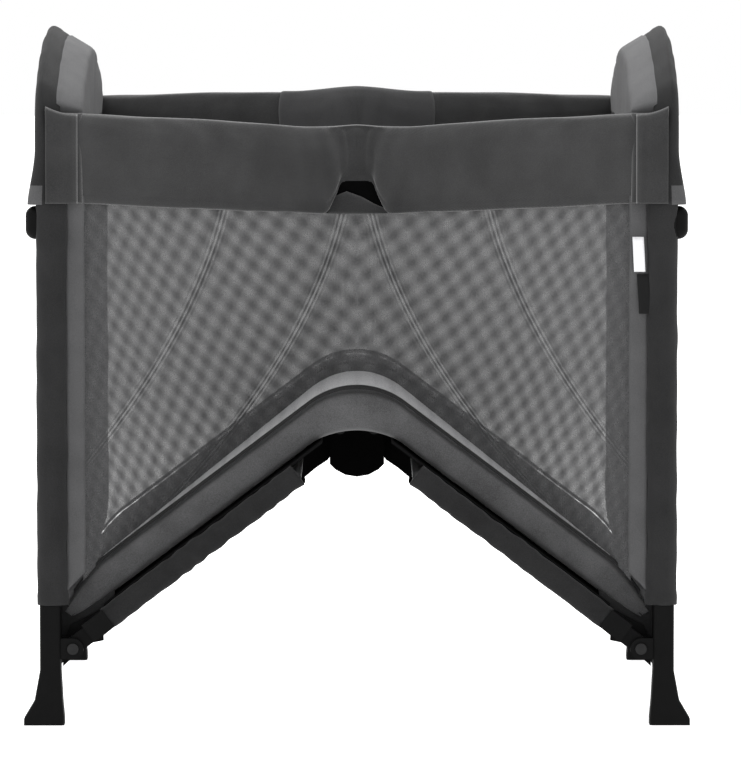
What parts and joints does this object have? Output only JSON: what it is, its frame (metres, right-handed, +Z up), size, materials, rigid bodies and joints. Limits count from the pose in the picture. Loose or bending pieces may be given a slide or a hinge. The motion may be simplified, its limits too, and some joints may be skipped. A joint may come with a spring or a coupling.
{
  "type": "folding playpen",
  "caption": "Folding travel playpen, half folded: two upright arched end frames, mesh sides, inward-folding padded top rails and a base that hinges up at a central hub.",
  "frame": {"origin": "on the floor, midway between the four feet, in the half-folded rest pose", "axes": "+X along the length from the left to the right end frame, +Y from the near to the far side, +Z up"},
  "size_m": [0.826, 0.6998, 0.8584],
  "materials": {
    "steel_tube": "satin powder coat",
    "black_plastic": "moulded, fine texture",
    "pin_steel": "zinc plated",
    "dark_fabric": "woven, dark grey",
    "rail_fabric": "woven, padded, dark grey",
    "grey_fabric": "woven, mid grey",
    "mattress_fabric": "woven, quilted",
    "board": "hard panel under the mattress",
    "mesh": "open knitted mesh",
    "button_plastic": "moulded"
  },
  "bodies": {
    "end_left": {"leg_near_left": "steel_tube", "leg_far_left": "steel_tube", "leg_sleeves_left": "dark_fabric", "foot_near_left": "black_plastic", "foot_far_left": "black_plastic", "foot_pins_left": "pin_steel", "corner_near_left": "black_plastic", "corner_far_left": "black_plastic", "corner_pins_left": "pin_steel", "arch_tube_left": "steel_tube", "end_hoop_left": "dark_fabric", "end_wall_left": "grey_fabric"},
    "base_left": {"base_frame_left": "steel_tube", "foot_brackets_left": "black_plastic", "base_strips_left": "dark_fabric", "hub_arm_left": "black_plastic", "base_board_left": "board", "mattress_left": "mattress_fabric"},
    "rail_near_left": {"rail_tube_near_left": "steel_tube", "rail_knuckles_near_left": "black_plastic", "rail_cover_near_left": "rail_fabric", "mesh_side_near_left": "mesh"},
    "rail_far_left": {"rail_tube_far_left": "steel_tube", "rail_knuckles_far_left": "black_plastic", "rail_cover_far_left": "rail_fabric", "mesh_side_far_left": "mesh"},
    "end_right": {"leg_near_right": "steel_tube", "leg_far_right": "steel_tube", "leg_sleeves_right": "dark_fabric", "foot_near_right": "black_plastic", "foot_far_right": "black_plastic", "foot_pins_right": "pin_steel", "corner_near_right": "black_plastic", "corner_far_right": "black_plastic", "corner_pins_right": "pin_steel", "arch_tube_right": "steel_tube", "end_hoop_right": "dark_fabric", "end_wall_right": "grey_fabric"},
    "base_right": {"base_frame_right": "steel_tube", "foot_brackets_right": "black_plastic", "base_strips_right": "dark_fabric", "hub_arm_right": "black_plastic", "base_board_right": "board", "mattress_right": "mattress_fabric"},
    "rail_near_right": {"rail_tube_near_right": "steel_tube", "rail_knuckles_near_right": "black_plastic", "rail_cover_near_right": "rail_fabric", "mesh_side_near_right": "mesh"},
    "rail_far_right": {"rail_tube_far_right": "steel_tube", "rail_knuckles_far_right": "black_plastic", "rail_cover_far_right": "rail_fabric", "mesh_side_far_right": "mesh"},
    "hub": {"hub_housing": "black_plastic", "hub_pins": "pin_steel"},
    "bracket_near": {"rail_bracket_near": "black_plastic", "bracket_pins_near": "pin_steel"},
    "button_near": {"release_button_near": "button_plastic"},
    "bracket_far": {"rail_bracket_far": "black_plastic", "bracket_pins_far": "pin_steel"},
    "button_far": {"release_button_far": "button_plastic"}
  },
  "joints": [
    {"name": "base_fold", "type": "hinge", "parent": "end_left", "child": "base_left", "pos_m": [-0.352, 0, 0.095], "axis": [0, -1, 0], "range_deg": [-37, 35], "deforming": ["rail_cover_near_left", "rail_cover_near_right", "rail_cover_far_left", "rail_cover_far_right", "mesh_side_near_left", "mesh_side_near_right", "mesh_side_far_left", "mesh_side_far_right"]},
    {"name": "hub_left_pivot", "type": "hinge", "parent": "base_left", "child": "hub", "pos_m": [-0.022, 0, 0.34367], "axis": [0, -1, 0], "range_deg": [-35, 37]},
    {"name": "hub_right_pivot", "type": "hinge", "parent": "hub", "child": "base_right", "pos_m": [0.022, 0, 0.34367], "axis": [0, -1, 0], "range_deg": [-35, 37]},
    {"name": "foot_right_pivot", "type": "hinge", "parent": "base_right", "child": "end_right", "pos_m": [0.352, 0, 0.095], "axis": [0, -1, 0], "range_deg": [-37, 35]},
    {"name": "rail_near_fold", "type": "hinge", "parent": "end_left", "child": "rail_near_left", "pos_m": [-0.352, -0.331, 0.722], "axis": [0, 0.108, 0.9942], "range_deg": [-37, 35]},
    {"name": "bracket_near_left_pivot", "type": "hinge", "parent": "rail_near_left", "child": "bracket_near", "pos_m": [-0.022, -0.08378, 0.69514], "axis": [0, 0.108, 0.9942], "range_deg": [-35, 37]},
    {"name": "bracket_near_right_pivot", "type": "hinge", "parent": "bracket_near", "child": "rail_near_right", "pos_m": [0.022, -0.08378, 0.69514], "axis": [0, 0.108, 0.9942], "range_deg": [-35, 37]},
    {"name": "release_near", "type": "slide", "parent": "bracket_near", "child": "button_near", "axis": [0, 0.108, 0.9942], "range_m": [0, 0.004], "stiffness_N_per_m": 400, "springref_m": -0.004},
    {"name": "rail_far_fold", "type": "hinge", "parent": "end_left", "child": "rail_far_left", "pos_m": [-0.352, 0.331, 0.722], "axis": [0, -0.0628, -0.998], "range_deg": [-37, 35]},
    {"name": "bracket_far_left_pivot", "type": "hinge", "parent": "rail_far_left", "child": "bracket_far", "pos_m": [-0.022, 0.08282, 0.73761], "axis": [0, -0.0628, -0.998], "range_deg": [-35, 37]},
    {"name": "bracket_far_right_pivot", "type": "hinge", "parent": "bracket_far", "child": "rail_far_right", "pos_m": [0.022, 0.08282, 0.73761], "axis": [0, -0.0628, -0.998], "range_deg": [-35, 37]},
    {"name": "release_far", "type": "slide", "parent": "bracket_far", "child": "button_far", "axis": [0, 0.0628, 0.998], "range_m": [0, 0.004], "stiffness_N_per_m": 400, "springref_m": -0.004}
  ],
  "couplings": [
    {"joint": "hub_left_pivot", "follows": "base_fold", "ratio": -1},
    {"joint": "hub_right_pivot", "follows": "base_fold", "ratio": -1},
    {"joint": "foot_right_pivot", "follows": "base_fold", "ratio": 1},
    {"joint": "rail_near_fold", "follows": "base_fold", "ratio": 1},
    {"joint": "bracket_near_left_pivot", "follows": "base_fold", "ratio": -1},
    {"joint": "bracket_near_right_pivot", "follows": "base_fold", "ratio": -1},
    {"joint": "rail_far_fold", "follows": "base_fold", "ratio": 1},
    {"joint": "bracket_far_left_pivot", "follows": "base_fold", "ratio": -1},
    {"joint": "bracket_far_right_pivot", "follows": "base_fold", "ratio": -1}
  ]
}
